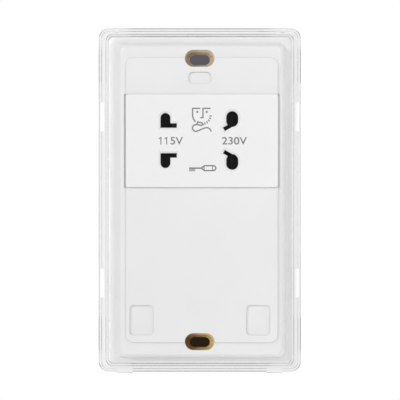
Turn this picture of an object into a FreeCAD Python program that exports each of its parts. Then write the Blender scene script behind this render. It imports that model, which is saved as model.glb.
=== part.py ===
"""Shaver socket with a clip-on clear cover frame, for a two-gang wall box.

The plate is drawn in its own plane: x across, y up the wall, z out of the wall,
with z = 0 on the wall. At the end every piece is turned to stand upright:
X across, Y into the wall, Z up, origin at the middle of the plate on the wall.
"""
import FreeCAD
import Part

import math
import os

V = FreeCAD.Vector
Z_UP = V(0, 0, 1)
ORIGIN = V(0, 0, 0)

# Driving dimensions, in millimetres

# Fits used throughout
loose_gap = 0.3
snug_gap = 0.1
slide_gap = 0.2

# Standard sizes that everything is set out from
fixing_centres = 120.6
us_blade_spacing = 12.7

# Clear cover frame
frame_width = 86.5
frame_end_margin = 13.2
frame_corner = 4.3
flange_thickness = 2.0
flange_side_width = 3.05
flange_end_width = 2.6
flange_edge_round = 0.5
flange_step_width = 1.15
flange_step_drop = 0.4
rib_thickness = 1.0
rib_height = 2.0
moulded_edge_round = 0.3
lip_thickness = 1.0
lip_width = 2.2
rib_corner = 2.2
clip_window_length = 12.5
clip_window_width = 1.8
clip_window_edge = 0.65
clip_window_corner = 0.45
clip_window_spacing = 71.2
clip_lug_width = 6.8
clip_lug_projection = 0.4
clip_lug_rise = 0.8
clip_lug_spacing = 64.0
snap_post_width = 2.6
snap_post_reach = 1.3
snap_post_rise = 1.6
snap_post_spacing = 51.6
head_bar_width = 8.9
head_bar_reach = 1.35
head_bar_rise = 0.8
head_bar_spacing = 58.0
hook_width = 1.6
hook_depth = 1.8
hook_rise = 0.8
hook_spacing = 71.0

# Front moulding
skirt_gap = 0.4
front_shift = 0.9
valley_width = 2.6
slope_side_run = 2.3
slope_end_run = 1.6
ledge_height = 6.5
base_corner = 2.8
shoulder_round = 2.0
front_wall = 2.0
side_wall = 2.0
panel_side_inset = 2.0
panel_end_inset = 5.1
panel_rise = 1.0
panel_corner = 3.5
panel_edge_round = 0.4
fixing_window_length = 12.7
fixing_window_width = 7.3
pocket_depth = 0.8
corner_pocket_width = 10.3
corner_pocket_height = 12.9
corner_pocket_corner = 1.9
corner_pocket_spacing = 49.6
corner_pocket_end_inset = 3.0
slot_pocket_width = 9.8
slot_pocket_height = 5.1
slot_pocket_corner = 2.0
slot_pocket_drop = 8.3
stake_radius = 1.3
stake_head_radius = 2.2
stake_head_height = 0.8
stake_inset = 7.0

# Socket face
face_height = 39.6
face_top_inset = 15.6
face_rise = 1.2
face_corner = 1.0
face_edge_round = 0.3
face_opening_side_inset = 2.9
face_opening_end_inset = 2.6
face_groove_width = 0.8
face_groove_depth = 0.8
face_ring_depth = 1.6
aperture_lift = 0.1
aperture_bevel_width = 0.9
aperture_bevel_depth = 0.9
us_outer_edge = 16.7
us_slot_length = 6.94
us_slot_height = 1.9
us_round_radius = 2.1
us_round_centre = 9.6
uk_centre = 13.8
uk_radius = 2.54
uk_near_centre = 8.33
uk_far_centre = 9.9
slant_slot_width = 1.7
slant_slot_length = 5.0
slant_slot_angle = 30.0
slant_slot_start_x = 10.3
slant_slot_start_y = 4.75

# Mounting yoke
yoke_thickness = 1.2
yoke_corner = 2.0
dish_margin = 0.45
dish_depth = 1.1
dish_wall = 0.3
fixing_slot_length = 8.6
fixing_slot_width = 4.3
fixing_slot_drop = 0.45

# Interlock shutter
shutter_travel = 7.5
shutter_height = 7.0
shutter_cover = 0.3
shutter_overlap_y = 0.7
ramp_run = 7.6
peg_length_x = 4.0
peg_width_y = 3.0
spring_pocket_width = 5.0
spring_pocket_height = 4.8
spring_pocket_web = 4.8
spring_strip = 0.35
spring_strip_width = 4.2
spring_half_waves = 8

# Contact base and contacts
base_wall = 1.6
base_end_wall = 2.5
base_flange_thickness = 1.3
base_flange_margin = 3.6
chamber_depth = 9.8
chamber_width = 8.2
chamber_height = 8.7
chamber_offset = 8.5
base_floor = 1.0
contact_sheet = 0.6
contact_width = 6.6
contact_pinch = 1.6
contact_waist = 3.8
contact_tail_width = 2.4
contact_tail_length = 2.0
switch_strip_thickness = 0.5
switch_strip_width = 3.0
switch_strip_offset = 4.5
switch_pad_height = 0.4
switch_pad_length = 3.6
bridge_thickness = 0.5
bridge_width = 3.0
bridge_gap = 0.1
bridge_corner = 0.75
base_screw_radius = 1.0
base_screw_head_radius = 1.6
base_screw_head_height = 1.2

# Transformer
lamination_unit = 8.0
stack_thickness = 16.8
core_corner = 0.5
core_end_gap = 6.2
coil_front_gap = 4.5
coil_back_gap = 1.0
bobbin_wall = 1.0
winding_corner = 3.0
core_screw_radius = 1.5
core_screw_head_radius = 2.75
core_screw_head_height = 2.0
core_screw_bite = 6.0
cutout_width = 12.0
cutout_height = 8.0
cutout_thickness = 3.5
cutout_corner = 1.0

# Rear housing
housing_side_inset = 2.1
housing_end_inset = 12.2
housing_wall = 1.8
housing_corner = 3.0
housing_back_round = 1.5
boss_radius = 3.0
boss_inset = 2.6
housing_screw_radius = 1.25
housing_screw_head_radius = 2.4
housing_screw_head_height = 1.8
post_radius = 3.4

# Terminals
terminal_end_gap = 3.6
terminal_width = 8.0
terminal_length = 11.0
terminal_depth = 9.5
terminal_edge = 0.4
terminal_bore_radius = 2.0
terminal_bore_inset = 5.7
terminal_screw_radius = 1.75
terminal_screw_head_radius = 2.6
terminal_screw_head_height = 2.2
terminal_shelf = 3.0
terminal_barrier = 1.4
wire_hole_radius = 2.6
screw_access_radius = 3.2
screw_slot_width = 0.8
screw_slot_depth = 0.8
earth_link_width = 5.0
earth_link_sheet = 0.8
earth_link_foot = 4.0

# Sizes that follow from the driving ones

frame_height = fixing_centres + 2 * frame_end_margin
rib_outer_width = frame_width - 2 * flange_side_width
rib_outer_height = frame_height - 2 * flange_end_width
rib_inner_width = rib_outer_width - 2 * rib_thickness
rib_inner_height = rib_outer_height - 2 * rib_thickness
fixing_height = fixing_centres / 2

skirt_width = rib_inner_width - 2 * skirt_gap
skirt_height = rib_inner_height - 2 * skirt_gap
box_base_width = rib_inner_width - 2 * valley_width
box_base_height = rib_inner_height - 2 * valley_width
box_top_width = box_base_width - 2 * slope_side_run
box_top_height = box_base_height - 2 * slope_end_run
panel_width = box_top_width - 2 * panel_side_inset
panel_height = box_top_height - 2 * panel_end_inset
panel_top = ledge_height + panel_rise

yoke_front = ledge_height - front_wall
yoke_back = yoke_front - yoke_thickness
slope_share = (yoke_front - flange_thickness) / (ledge_height - flange_thickness)
cavity_width = box_base_width - 2 * (slope_side_run * slope_share + side_wall)
cavity_height = box_base_height - 2 * (slope_end_run * slope_share + side_wall)
yoke_width = cavity_width - 2 * slide_gap
yoke_height = cavity_height - 2 * slide_gap

face_centre = panel_height / 2 - face_top_inset - face_height / 2
face_width = panel_width
face_front = panel_top + face_rise
face_back = ledge_height
face_opening_width = face_width - 2 * face_opening_side_inset
face_opening_height = face_height - 2 * face_opening_end_inset
pin_row = face_centre + aperture_lift

housing_width = yoke_width - 2 * housing_side_inset
housing_height = yoke_height - 2 * housing_end_inset
inside_width = housing_width - 2 * housing_wall
inside_height = housing_height - 2 * housing_wall
inside_top = inside_height / 2

shutter_front = face_back - slide_gap
shutter_back = shutter_front - shutter_height
shutter_half_back = us_outer_edge + shutter_cover
shutter_half_front = shutter_half_back - ramp_run
shutter_half_height = uk_far_centre + uk_radius + shutter_overlap_y

base_flange_width = inside_width - 2 * loose_gap
base_width = base_flange_width - 2 * base_flange_thickness
runway_half_length = base_width / 2 - base_end_wall
runway_half_height = shutter_half_height + loose_gap
base_height = 2 * (runway_half_height + base_wall)
base_flange_height = base_height + 2 * base_flange_margin
runway_floor = shutter_back - slide_gap
base_back = runway_floor - chamber_depth - base_floor
base_screw_offset = base_height / 2 + base_flange_margin / 2

core_width = 6 * lamination_unit
core_height = 5 * lamination_unit
core_bottom = -inside_top + core_end_gap
core_centre = core_bottom + core_height / 2
coil_half_width = 2 * lamination_unit - slide_gap
coil_half_depth = stack_thickness / 2 + lamination_unit - slide_gap
coil_half_height = 1.5 * lamination_unit - slide_gap
coil_front = yoke_back - coil_front_gap
coil_axis = coil_front - coil_half_depth
core_front = coil_axis + stack_thickness / 2
core_back = coil_axis - stack_thickness / 2
inside_back = coil_axis - coil_half_depth - coil_back_gap
housing_back = inside_back - housing_wall

terminal_back = inside_back + terminal_shelf
terminal_front = terminal_back + terminal_depth
terminal_bore_axis = terminal_back + terminal_bore_inset
terminal_top = inside_top - loose_gap
terminal_middle = terminal_top - terminal_length / 2
terminal_row_end = inside_width / 2 - boss_inset - boss_radius - terminal_end_gap
terminal_pitch = terminal_row_end - terminal_width / 2
terminal_places = [-terminal_pitch, 0.0, terminal_pitch]


# Shared shapes

def outline(width, height, corner, level, centre=(0, 0)):
    """Closed wire round a rectangle with round corners; a corner of half the height makes a slot end."""
    cx, cy = centre
    half_x = width / 2 - corner
    half_y = height / 2 - corner
    edges = []
    for turn in range(4):
        start = turn * math.pi / 2
        side_x = 1 if turn in (0, 3) else -1
        side_y = 1 if turn in (0, 1) else -1
        middle = V(cx + side_x * half_x, cy + side_y * half_y, level)
        edges.append(quarter(middle, corner, start))
    joined = []
    for index, edge in enumerate(edges):
        following = edges[(index + 1) % 4]
        joined.append(edge)
        leave = edge.Vertexes[-1].Point
        arrive = following.Vertexes[0].Point
        if leave.distanceToPoint(arrive) > 1e-6:
            joined.append(Part.LineSegment(leave, arrive).toShape())
    return Part.Wire(joined)


def quarter(middle, radius, start):
    """Quarter circle, anticlockwise from the start angle."""
    points = [middle + V(radius * math.cos(start + a), radius * math.sin(start + a), 0) for a in
              (0, math.pi / 4, math.pi / 2)]
    return Part.Arc(*points).toShape()


def slab(width, height, corner, low, high, centre=(0, 0)):
    """Flat plate with round corners between two levels."""
    return Part.Face(outline(width, height, corner, low, centre)).extrude(V(0, 0, high - low))


def slot(length, width, low, high, centre=(0, 0)):
    """Slot with round ends, long way across the plate."""
    return slab(length, width, width / 2, low, high, centre)


def block(x0, x1, y0, y1, z0, z1):
    """Plain rectangular block between three pairs of limits."""
    return Part.makeBox(x1 - x0, y1 - y0, z1 - z0, V(x0, y0, z0))


def rod(radius, low, high, centre):
    """Round bar standing out of the plate."""
    return Part.makeCylinder(radius, high - low, V(centre[0], centre[1], low), Z_UP)


def profile(points, x0, x1):
    """Section drawn up (y) and out (z), run across the plate from x0 to x1."""
    corners = [V(x0, y, z) for y, z in points]
    return Part.Face(Part.makePolygon(corners + corners[:1])).extrude(V(x1 - x0, 0, 0))


def edges_at(shape, level):
    """Edges that lie wholly at one level off the wall."""
    return [edge for edge in shape.Edges
            if abs(edge.BoundBox.ZMin - level) < 1e-4 and abs(edge.BoundBox.ZMax - level) < 1e-4]


def corners_of(width, height, inset):
    """The four places set in from the corners of a rectangle."""
    return [(sx * (width / 2 - inset), sy * (height / 2 - inset)) for sx in (-1, 1) for sy in (-1, 1)]


def slotted_screw(radius, head_radius, head_height, seat, tip, centre):
    """Pan-headed screw driven from behind, its head behind the seat and its shank forward to the tip."""
    head_back = seat - head_height
    screw = rod(head_radius, head_back, seat, centre).fuse(rod(radius, seat, tip, centre))
    cut = block(centre[0] - head_radius, centre[0] + head_radius, centre[1] - screw_slot_width / 2,
                centre[1] + screw_slot_width / 2, head_back, head_back + screw_slot_depth)
    return screw.cut(cut)


# Clear cover frame

def clear_frame():
    """Clear ring: stepped flange, upstanding rib, and a thin inner lip that carries the front moulding."""
    rim_level = flange_thickness - flange_step_drop
    body = slab(frame_width, frame_height, frame_corner, 0, rim_level)
    body = body.makeFillet(flange_edge_round, edges_at(body, rim_level))
    step = slab(frame_width - 2 * flange_step_width, frame_height - 2 * flange_step_width,
                frame_corner - flange_step_width, 0, flange_thickness)
    body = body.fuse(step.makeFillet(moulded_edge_round, edges_at(step, flange_thickness)))
    rib_top = flange_thickness + rib_height
    rib = slab(rib_outer_width, rib_outer_height, rib_corner + rib_thickness, lip_thickness, rib_top)
    rib = rib.cut(slab(rib_inner_width, rib_inner_height, rib_corner, lip_thickness, rib_top))
    rib = rib.makeFillet(moulded_edge_round, edges_at(rib, rib_top))
    body = body.cut(slab(rib_inner_width, rib_inner_height, rib_corner, lip_thickness, flange_thickness))
    body = body.fuse(rib)
    body = body.cut(slab(rib_inner_width - 2 * lip_width, rib_inner_height - 2 * lip_width, base_corner, 0,
                         lip_thickness))
    window_x = frame_width / 2 - clip_window_edge - clip_window_width / 2
    for side in (-1, 1):
        for end in (-1, 1):
            centre = (side * window_x, end * clip_window_spacing / 2)
            body = body.cut(slab(clip_window_width, clip_window_length, clip_window_corner, 0,
                                 flange_thickness, centre))
        for clip in cover_clips(side):
            body = body.fuse(clip)
    return body.removeSplitter()


def cover_clips(side):
    """Blocks on one half of the end flanges: a lug and a post at the foot, a bar and a hook at the head."""
    end = frame_height / 2
    rib = rib_outer_height / 2
    root = rib - rib_thickness / 2
    return [
        end_block(side * clip_lug_spacing, clip_lug_width, -end - clip_lug_projection, -root, clip_lug_rise),
        end_block(side * snap_post_spacing, snap_post_width, -rib - snap_post_reach, -root, snap_post_rise),
        end_block(side * head_bar_spacing, head_bar_width, root, rib + head_bar_reach, head_bar_rise),
        end_block(side * hook_spacing, hook_width, end - hook_depth, end, hook_rise),
    ]


def end_block(spacing, width, low, high, rise):
    """Block across an end flange, one of a pair at a spacing, from the wall to a rise above the flange."""
    middle = spacing / 2
    top = flange_thickness + rise
    body = block(middle - width / 2, middle + width / 2, low, high, 0, top)
    return body.makeFillet(moulded_edge_round, edges_at(body, top))


# Front moulding

def front_moulding():
    """White shell: skirt on the clear lip, sloping sides, ledge, raised panel and stakes for the yoke."""
    box = Part.makeLoft([outline(box_base_width, box_base_height, base_corner, flange_thickness),
                         outline(box_top_width, box_top_height, base_corner, ledge_height, (front_shift, 0))],
                        True, True)
    box = box.makeFillet(shoulder_round, edges_at(box, ledge_height))
    skirt = slab(skirt_width, skirt_height, rib_corner, lip_thickness, flange_thickness)
    panel = slab(panel_width, panel_height, panel_corner, ledge_height, panel_top, (front_shift, 0))
    panel = panel.makeFillet(panel_edge_round, edges_at(panel, panel_top))
    body = box.fuse(skirt).fuse(panel)
    body = body.cut(slab(cavity_width, cavity_height, yoke_corner, lip_thickness, yoke_front))
    channel_low = face_centre - face_height / 2 - snug_gap
    channel_high = face_centre + face_height / 2 + snug_gap
    body = body.cut(block(front_shift - panel_width / 2, front_shift + panel_width / 2, channel_low,
                          channel_high, ledge_height, panel_top))
    body = body.cut(slab(face_opening_width, face_opening_height, face_corner, yoke_front, panel_top,
                         (0, face_centre)))
    for side in (-1, 1):
        groove = front_shift + side * (face_width + face_groove_width) / 2
        body = body.cut(block(groove - face_groove_width / 2, groove + face_groove_width / 2, channel_low,
                              channel_high, ledge_height - face_groove_depth, panel_top))
    for end in (-1, 1):
        body = body.cut(slot(fixing_window_length, fixing_window_width, yoke_front, panel_top,
                             (0, end * fixing_height)))
    for place in moulding_pockets():
        body = body.cut(place)
    for place in stake_places():
        body = body.fuse(rod(stake_radius, yoke_back, yoke_front, place))
        body = body.fuse(rod(stake_head_radius, yoke_back - stake_head_height, yoke_back, place))
    return body.removeSplitter()


def moulding_pockets():
    """Shallow recesses: one in each lower corner of the panel and one under the top fixing."""
    floor = panel_top - pocket_depth
    pocket_y = -panel_height / 2 + corner_pocket_end_inset + corner_pocket_height / 2
    pockets = [slab(corner_pocket_width, corner_pocket_height, corner_pocket_corner, floor, panel_top,
                    (side * corner_pocket_spacing / 2, pocket_y)) for side in (-1, 1)]
    pockets.append(slab(slot_pocket_width, slot_pocket_height, slot_pocket_corner, floor, panel_top,
                        (0, fixing_height - slot_pocket_drop)))
    return pockets


def stake_places():
    """Moulded stakes near the four corners of the yoke, clear of the rear housing."""
    return corners_of(yoke_width, yoke_height, stake_inset)


# Socket face

def bevelled_hole(wire_at):
    """Pin hole through the face with a bevelled mouth; wire_at(grow, level) draws it, grown all round."""
    mouth_back = face_front - aperture_bevel_depth
    straight = Part.Face(wire_at(0, face_back)).extrude(V(0, 0, mouth_back - face_back))
    mouth = Part.makeLoft([wire_at(0, mouth_back), wire_at(aperture_bevel_width, face_front)], True, True)
    return straight.fuse(mouth)


def rectangle(x0, x1, y0, y1, grow, level):
    """Closed rectangle at one level, grown all round."""
    low_x, high_x = x0 - grow, x1 + grow
    low_y, high_y = y0 - grow, y1 + grow
    corners = [V(low_x, low_y, level), V(high_x, low_y, level), V(high_x, high_y, level),
               V(low_x, high_y, level)]
    return Part.makePolygon(corners + corners[:1])


def arched(x, radius, foot, springing, grow, level):
    """Closed arch at one level, flat at the foot and round at the top, grown all round."""
    reach = radius + grow
    low = foot - grow
    left = [V(x - reach, low, level), V(x - reach, springing, level)]
    right = [V(x + reach, springing, level), V(x + reach, low, level)]
    crown = Part.Arc(left[1], V(x, springing + reach, level), right[0]).toShape()
    return Part.Wire([Part.makeLine(left[0], left[1]), crown, Part.makeLine(right[0], right[1]),
                      Part.makeLine(right[1], left[0])])


def us_aperture():
    """Flat-blade slot joined to a round-ended hole for round pins, for the upper 115 V pin."""
    blade_low = pin_row + us_blade_spacing / 2 - us_slot_height / 2
    blade_end = -us_outer_edge + us_slot_length
    centre_x = -us_outer_edge + us_round_radius
    centre_y = pin_row + us_round_centre
    blade = bevelled_hole(lambda grow, level: rectangle(-us_outer_edge, blade_end, blade_low,
                                                        blade_low + us_slot_height, grow, level))
    tall = bevelled_hole(lambda grow, level: arched(centre_x, us_round_radius, blade_low, centre_y, grow,
                                                    level))
    return [blade, tall]


def uk_aperture():
    """Tall slot for two spacings of round pin with a slanted blade slot, for the upper 230 V pin."""
    middle = (uk_centre, pin_row + (uk_near_centre + uk_far_centre) / 2)
    pitch = uk_far_centre - uk_near_centre
    tall = bevelled_hole(lambda grow, level: outline(2 * (uk_radius + grow), pitch + 2 * (uk_radius + grow),
                                                     uk_radius + grow, level, middle))
    half = slant_slot_width / 2
    slant = bevelled_hole(lambda grow, level: rectangle(0, slant_slot_length, -half, half, grow, level))
    slant.rotate(ORIGIN, Z_UP, slant_slot_angle)
    slant.translate(V(slant_slot_start_x, pin_row + slant_slot_start_y, 0))
    return [tall, slant]


def socket_face():
    """White insert with the pin holes: a plate on the moulding, with a ring behind round the contact base."""
    plate = slab(face_width, face_height, face_corner, face_back, face_front, (front_shift, face_centre))
    plate = plate.makeFillet(face_edge_round, edges_at(plate, face_front))
    ring_back = face_back - face_ring_depth
    ring = slab(face_opening_width - 2 * slide_gap, face_opening_height - 2 * slide_gap, face_corner,
                ring_back, face_back, (0, face_centre))
    ring = ring.cut(slab(base_width + 2 * slide_gap, base_height + 2 * slide_gap, face_corner, ring_back,
                         face_back, (0, face_centre)))
    body = plate.fuse(ring)
    upper = us_aperture() + uk_aperture()
    lower = [hole.mirror(V(0, pin_row, 0), V(0, 1, 0)) for hole in upper]
    for hole in upper + lower:
        body = body.cut(hole)
    return body.removeSplitter()


# Mounting yoke

def mounting_yoke():
    """Steel plate behind the moulding: dished fixing slots, a window for the contact base and screw holes."""
    plate = slab(yoke_width, yoke_height, yoke_corner, yoke_back, yoke_front)
    plate = plate.cut(slab(base_width + 2 * loose_gap, base_height + 2 * loose_gap, face_corner, yoke_back,
                           yoke_front, (0, face_centre)))
    rim_length = fixing_window_length - 2 * dish_margin
    rim_width = fixing_window_width - 2 * dish_margin
    dish_back = yoke_back - dish_depth
    for end in (-1, 1):
        centre = (0, end * fixing_height - fixing_slot_drop)
        wide = slot_wire(rim_length + 2 * dish_wall, rim_width + 2 * dish_wall, yoke_back, centre)
        narrow = slot_wire(fixing_slot_length + 4 * dish_wall, fixing_slot_width + 4 * dish_wall, dish_back,
                           centre)
        rim = slot_wire(rim_length, rim_width, yoke_front, centre)
        floor = slot_wire(fixing_slot_length, fixing_slot_width, dish_back + dish_wall, centre)
        plate = plate.fuse(Part.makeLoft([wide, narrow], True, True))
        plate = plate.cut(Part.makeLoft([rim, floor], True, True))
        plate = plate.cut(slot(fixing_slot_length, fixing_slot_width, dish_back, yoke_front, centre))
    for place in stake_places():
        plate = plate.cut(rod(stake_radius + snug_gap, yoke_back, yoke_front, place))
    for place in base_screw_places():
        plate = plate.cut(rod(base_screw_radius, yoke_back, yoke_front, place))
    for place in boss_places():
        plate = plate.cut(rod(housing_screw_radius, yoke_back, yoke_front, place))
    return plate.removeSplitter()


def slot_wire(length, width, level, centre):
    """Outline of a round-ended slot at one level."""
    return outline(length, width, width / 2, level, centre)


# Interlock shutter and its switch bridge

def shutter_slider():
    """Sliding block with a ramp at each end, a spring pocket under each ramp and a peg through the base."""
    section = [V(-shutter_half_back, 0, shutter_back), V(shutter_half_back, 0, shutter_back),
               V(shutter_half_front, 0, shutter_front), V(-shutter_half_front, 0, shutter_front)]
    body = Part.Face(Part.makePolygon(section + section[:1])).extrude(V(0, 2 * shutter_half_height, 0))
    body.translate(V(0, pin_row - shutter_half_height, 0))
    half = spring_pocket_width / 2
    for side in (-1, 1):
        ends = sorted([side * spring_pocket_web, side * shutter_half_back])
        body = body.cut(block(ends[0], ends[1], pin_row - half, pin_row + half, shutter_back,
                              shutter_back + spring_pocket_height))
    peg = block(-peg_length_x / 2, peg_length_x / 2, pin_row - peg_width_y / 2, pin_row + peg_width_y / 2,
                bridge_front(), shutter_back)
    return body.fuse(peg).removeSplitter()


def bridge_front():
    """Level of the switch bridge's front face, just behind the fixed pads."""
    return base_back - switch_strip_thickness - switch_pad_height - bridge_gap


def switch_bridge():
    """Bronze strip on the end of the peg that joins the two fixed strips when the shutter is pushed aside."""
    reach = switch_strip_offset + switch_strip_width / 2
    return slab(bridge_width, 2 * reach, bridge_corner, bridge_front() - bridge_thickness, bridge_front(),
                (0, pin_row))


def switch_strip(side):
    """Fixed bronze strip on the back of the base with a raised pad at each end."""
    middle = pin_row + side * switch_strip_offset
    low = middle - switch_strip_width / 2
    high = middle + switch_strip_width / 2
    reach = shutter_travel + bridge_width / 2
    strip_back = base_back - switch_strip_thickness
    strip = block(-reach, reach, low, high, strip_back, base_back)
    for end in (-1, 1):
        ends = sorted([end * reach, end * (reach - switch_pad_length)])
        strip = strip.fuse(block(ends[0], ends[1], low, high, strip_back - switch_pad_height, strip_back))
    return strip.removeSplitter()


def centring_spring(side):
    """Meander of flat steel strip between the shutter's pocket and the end of its runway."""
    start = spring_pocket_web + slide_gap
    stop = runway_half_length - slide_gap
    turn_radius = (stop - start - spring_strip) / (2 * spring_half_waves)
    swing = spring_pocket_width / 2 - slide_gap - spring_strip / 2 - turn_radius
    bottom = runway_floor
    strip = None
    for wave in range(spring_half_waves + 1):
        leg_x = start + spring_strip / 2 + wave * 2 * turn_radius
        leg = block(leg_x - spring_strip / 2, leg_x + spring_strip / 2, -swing, swing, bottom,
                    bottom + spring_strip_width)
        strip = leg if strip is None else strip.fuse(leg)
        if wave < spring_half_waves:
            up = 1 if wave % 2 == 0 else -1
            strip = strip.fuse(half_ring(V(leg_x + turn_radius, up * swing, bottom), turn_radius, up))
    strip = strip.removeSplitter()
    if side < 0:
        strip = strip.mirror(ORIGIN, V(1, 0, 0))
    strip.translate(V(0, pin_row, 0))
    return strip


def half_ring(middle, radius, up):
    """Half turn of the spring strip, bulging up or down."""
    outer = Part.makeCylinder(radius + spring_strip / 2, spring_strip_width, middle, Z_UP, 180)
    inner = Part.makeCylinder(radius - spring_strip / 2, spring_strip_width, middle, Z_UP, 180)
    ring = outer.cut(inner)
    if up < 0:
        ring.rotate(middle, Z_UP, 180)
    return ring


# Contact base and contacts

def chamber_places():
    """Middles of the four contact chambers, named by outlet and row."""
    side_x = us_outer_edge - us_slot_length / 2
    return {f"{outlet}_{row}": (side * side_x, pin_row + up * chamber_offset)
            for outlet, side in (("115v", -1), ("230v", 1)) for row, up in (("upper", 1), ("lower", -1))}


def contact_base():
    """Black moulding behind the face: shutter runway, contact chambers, peg slot and a flange."""
    centre = (0, face_centre)
    body = slab(base_width, base_height, face_corner, base_back, face_back, centre)
    flange_back = yoke_back - base_flange_thickness
    body = body.fuse(slab(base_flange_width, base_flange_height, face_corner, flange_back, yoke_back, centre))
    body = body.cut(block(-runway_half_length, runway_half_length, pin_row - runway_half_height,
                          pin_row + runway_half_height, runway_floor, face_back))
    for x, y in chamber_places().values():
        body = body.cut(block(x - chamber_width / 2, x + chamber_width / 2, y - chamber_height / 2,
                              y + chamber_height / 2, runway_floor - chamber_depth, runway_floor))
        body = body.cut(block(x - contact_tail_width / 2 - snug_gap, x + contact_tail_width / 2 + snug_gap,
                              y - contact_sheet / 2 - snug_gap, y + contact_sheet / 2 + snug_gap, base_back,
                              runway_floor - chamber_depth))
    slot_half = shutter_travel + peg_length_x / 2 + loose_gap
    body = body.cut(block(-slot_half, slot_half, pin_row - peg_width_y / 2 - loose_gap,
                          pin_row + peg_width_y / 2 + loose_gap, base_back, runway_floor))
    for place in base_screw_places():
        body = body.cut(rod(base_screw_radius + snug_gap, flange_back, yoke_back, place))
    return body.removeSplitter()


def pin_contact(place):
    """Bronze clip: two pinched leaves on a folded foot, with a solder tail out of the back of the base."""
    x, y = place
    foot_back = runway_floor - chamber_depth
    leaf_front = runway_floor - loose_gap
    reach = chamber_height / 2 - loose_gap
    waist = leaf_front - contact_waist
    outer = [(-reach, foot_back + contact_sheet), (-reach + contact_pinch, waist), (-reach, leaf_front)]
    inner = [(py + contact_sheet, pz) for py, pz in reversed(outer)]
    left = [(y + py, pz) for py, pz in outer + inner]
    right = [(2 * y - py, pz) for py, pz in left]
    x0 = x - contact_width / 2
    x1 = x + contact_width / 2
    clip = profile(left, x0, x1).fuse(profile(right, x0, x1))
    clip = clip.fuse(block(x0, x1, y - reach, y + reach, foot_back, foot_back + contact_sheet))
    tail_half = contact_tail_width / 2
    clip = clip.fuse(block(x - tail_half, x + tail_half, y - contact_sheet / 2, y + contact_sheet / 2,
                           base_back - contact_tail_length, foot_back))
    return clip.removeSplitter()


def base_screw_places():
    """Two screws above and two below the contact base, through its flange."""
    x = base_flange_width / 4
    return [(sx * x, face_centre + sy * base_screw_offset) for sx in (-1, 1) for sy in (-1, 1)]


def base_screws():
    """Screws that hold the contact base against the back of the yoke."""
    seat = yoke_back - base_flange_thickness
    return Part.makeCompound([slotted_screw(base_screw_radius, base_screw_head_radius,
                                            base_screw_head_height, seat, yoke_front, place)
                              for place in base_screw_places()])


# Transformer

def transformer_core():
    """Stack of E and I laminations: two winding windows and a hole in each corner."""
    core = slab(core_width, core_height, core_corner, core_back, core_front, (0, core_centre))
    window_half_height = 1.5 * lamination_unit
    for side in (-1, 1):
        near, far = sorted([side * lamination_unit, side * 2 * lamination_unit])
        core = core.cut(block(near, far, core_centre - window_half_height, core_centre + window_half_height,
                              core_back, core_front))
    for place in core_screw_places():
        core = core.cut(rod(core_screw_radius + snug_gap, core_back, core_front, place))
    return core


def core_screw_places():
    """The corner holes of the laminations, half a unit in from the edges."""
    return [(x, core_centre + y) for x, y in corners_of(core_width, core_height, lamination_unit / 2)]


def sleeve(half_x, half_z, corner, low, high):
    """Upright block round the core's middle leg, between two heights up the wall."""
    shape = slab(2 * half_x, 2 * half_z, corner, -high, -low, (0, coil_axis))
    shape.rotate(ORIGIN, V(1, 0, 0), 90)
    return shape


def leg_space(low, high):
    """Room for the middle leg of the core, between two heights up the wall."""
    return block(-lamination_unit - snug_gap, lamination_unit + snug_gap, low, high, core_back - snug_gap,
                 core_front + snug_gap)


def bobbin():
    """Nylon former: a square tube on the middle leg, with end flanges and one between the windings."""
    low = core_centre - coil_half_height
    high = core_centre + coil_half_height
    tube_x = lamination_unit + snug_gap + bobbin_wall
    tube_z = stack_thickness / 2 + snug_gap + bobbin_wall
    body = sleeve(tube_x, tube_z, bobbin_wall / 2, low, high)
    for bottom in (low, core_centre - bobbin_wall / 2, high - bobbin_wall):
        body = body.fuse(sleeve(coil_half_width, coil_half_depth, winding_corner, bottom,
                                bottom + bobbin_wall))
    return body.cut(leg_space(low, high)).removeSplitter()


def winding(low, high):
    """Layers of enamelled wire under tape, filling one half of the bobbin."""
    tube_x = lamination_unit + snug_gap + bobbin_wall
    tube_z = stack_thickness / 2 + snug_gap + bobbin_wall
    outer = sleeve(coil_half_width - slide_gap, coil_half_depth - slide_gap, winding_corner, low, high)
    return outer.cut(sleeve(tube_x, tube_z, bobbin_wall / 2, low, high))


def primary_winding():
    """Lower half of the coil."""
    return winding(core_centre - coil_half_height + bobbin_wall, core_centre - bobbin_wall / 2)


def secondary_winding():
    """Upper half of the coil."""
    return winding(core_centre + bobbin_wall / 2, core_centre + coil_half_height - bobbin_wall)


def thermal_cutout():
    """Small self-resetting cut-out on the front of the primary winding."""
    seat = coil_front - slide_gap
    middle = core_centre - coil_half_height / 2
    return slab(cutout_width, cutout_height, cutout_corner, seat, seat + cutout_thickness, (0, middle))


def core_screws():
    """Screws through the corners of the core into the housing's posts, heads on the front of the core."""
    screws = []
    for place in core_screw_places():
        head = rod(core_screw_head_radius, core_front, core_front + core_screw_head_height, place)
        screw = head.fuse(rod(core_screw_radius, core_back - core_screw_bite, core_front, place))
        top = core_front + core_screw_head_height
        cut = block(place[0] - core_screw_head_radius, place[0] + core_screw_head_radius,
                    place[1] - screw_slot_width / 2, place[1] + screw_slot_width / 2,
                    top - screw_slot_depth, top)
        screws.append(screw.cut(cut))
    return Part.makeCompound(screws)


# Rear housing

def boss_places():
    """Corner bosses that take the housing screws."""
    return corners_of(inside_width, inside_height, boss_inset)


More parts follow.
